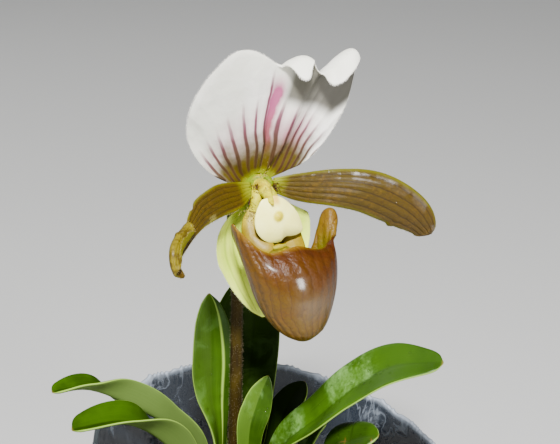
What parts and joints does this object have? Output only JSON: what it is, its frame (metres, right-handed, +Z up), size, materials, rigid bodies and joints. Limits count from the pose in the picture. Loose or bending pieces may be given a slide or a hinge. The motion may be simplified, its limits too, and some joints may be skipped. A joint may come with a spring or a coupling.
{
  "type": "potted slipper orchid",
  "caption": "Lady's slipper orchid in bloom, with a white dorsal sepal, olive-brown petals and a glossy brown pouch, on a hairy stem over strap leaves, growing in bark in a clear plastic pot.",
  "frame": {"origin": "centre of the flat underside of the pot", "axes": "+Z up; -Y towards the viewer that the flower is seen by; +X to that viewer's right, where the flower is turned to"},
  "size_m": [0.1543, 0.1402, 0.2839],
  "materials": {
    "clear_plastic": "thin clear plastic with whitish limescale streaks",
    "bark": "damp pine bark chips",
    "sheath": "matt pale green sheathing leaf bases",
    "stem": "olive-brown, short pale hairs",
    "white_sepal": "satin white with purple-brown veins",
    "green_sepal": "satin pale green with green veins",
    "petal": "glossy olive brown with darker veins and yellow-green margins",
    "lip": "very glossy red brown to ochre",
    "shield": "satin cream with a yellow boss",
    "leaf": "glossy green above, matt olive green below"
  },
  "bodies": {
    "root": {"pot": "clear_plastic", "growing_medium": "bark", "growth_main": "sheath", "growth_young": "sheath", "flower_stem": "stem", "dorsal_sepal": "white_sepal", "synsepal": "green_sepal", "petal_right": "petal", "petal_left": "petal", "lip_pouch": "lip", "column": "shield", "leaf_1": "leaf", "leaf_2": "leaf", "leaf_3": "leaf", "leaf_4": "leaf", "leaf_5": "leaf", "leaf_6": "leaf", "leaf_7": "leaf", "leaf_8": "leaf", "leaf_9": "leaf"}
  },
  "joints": []
}
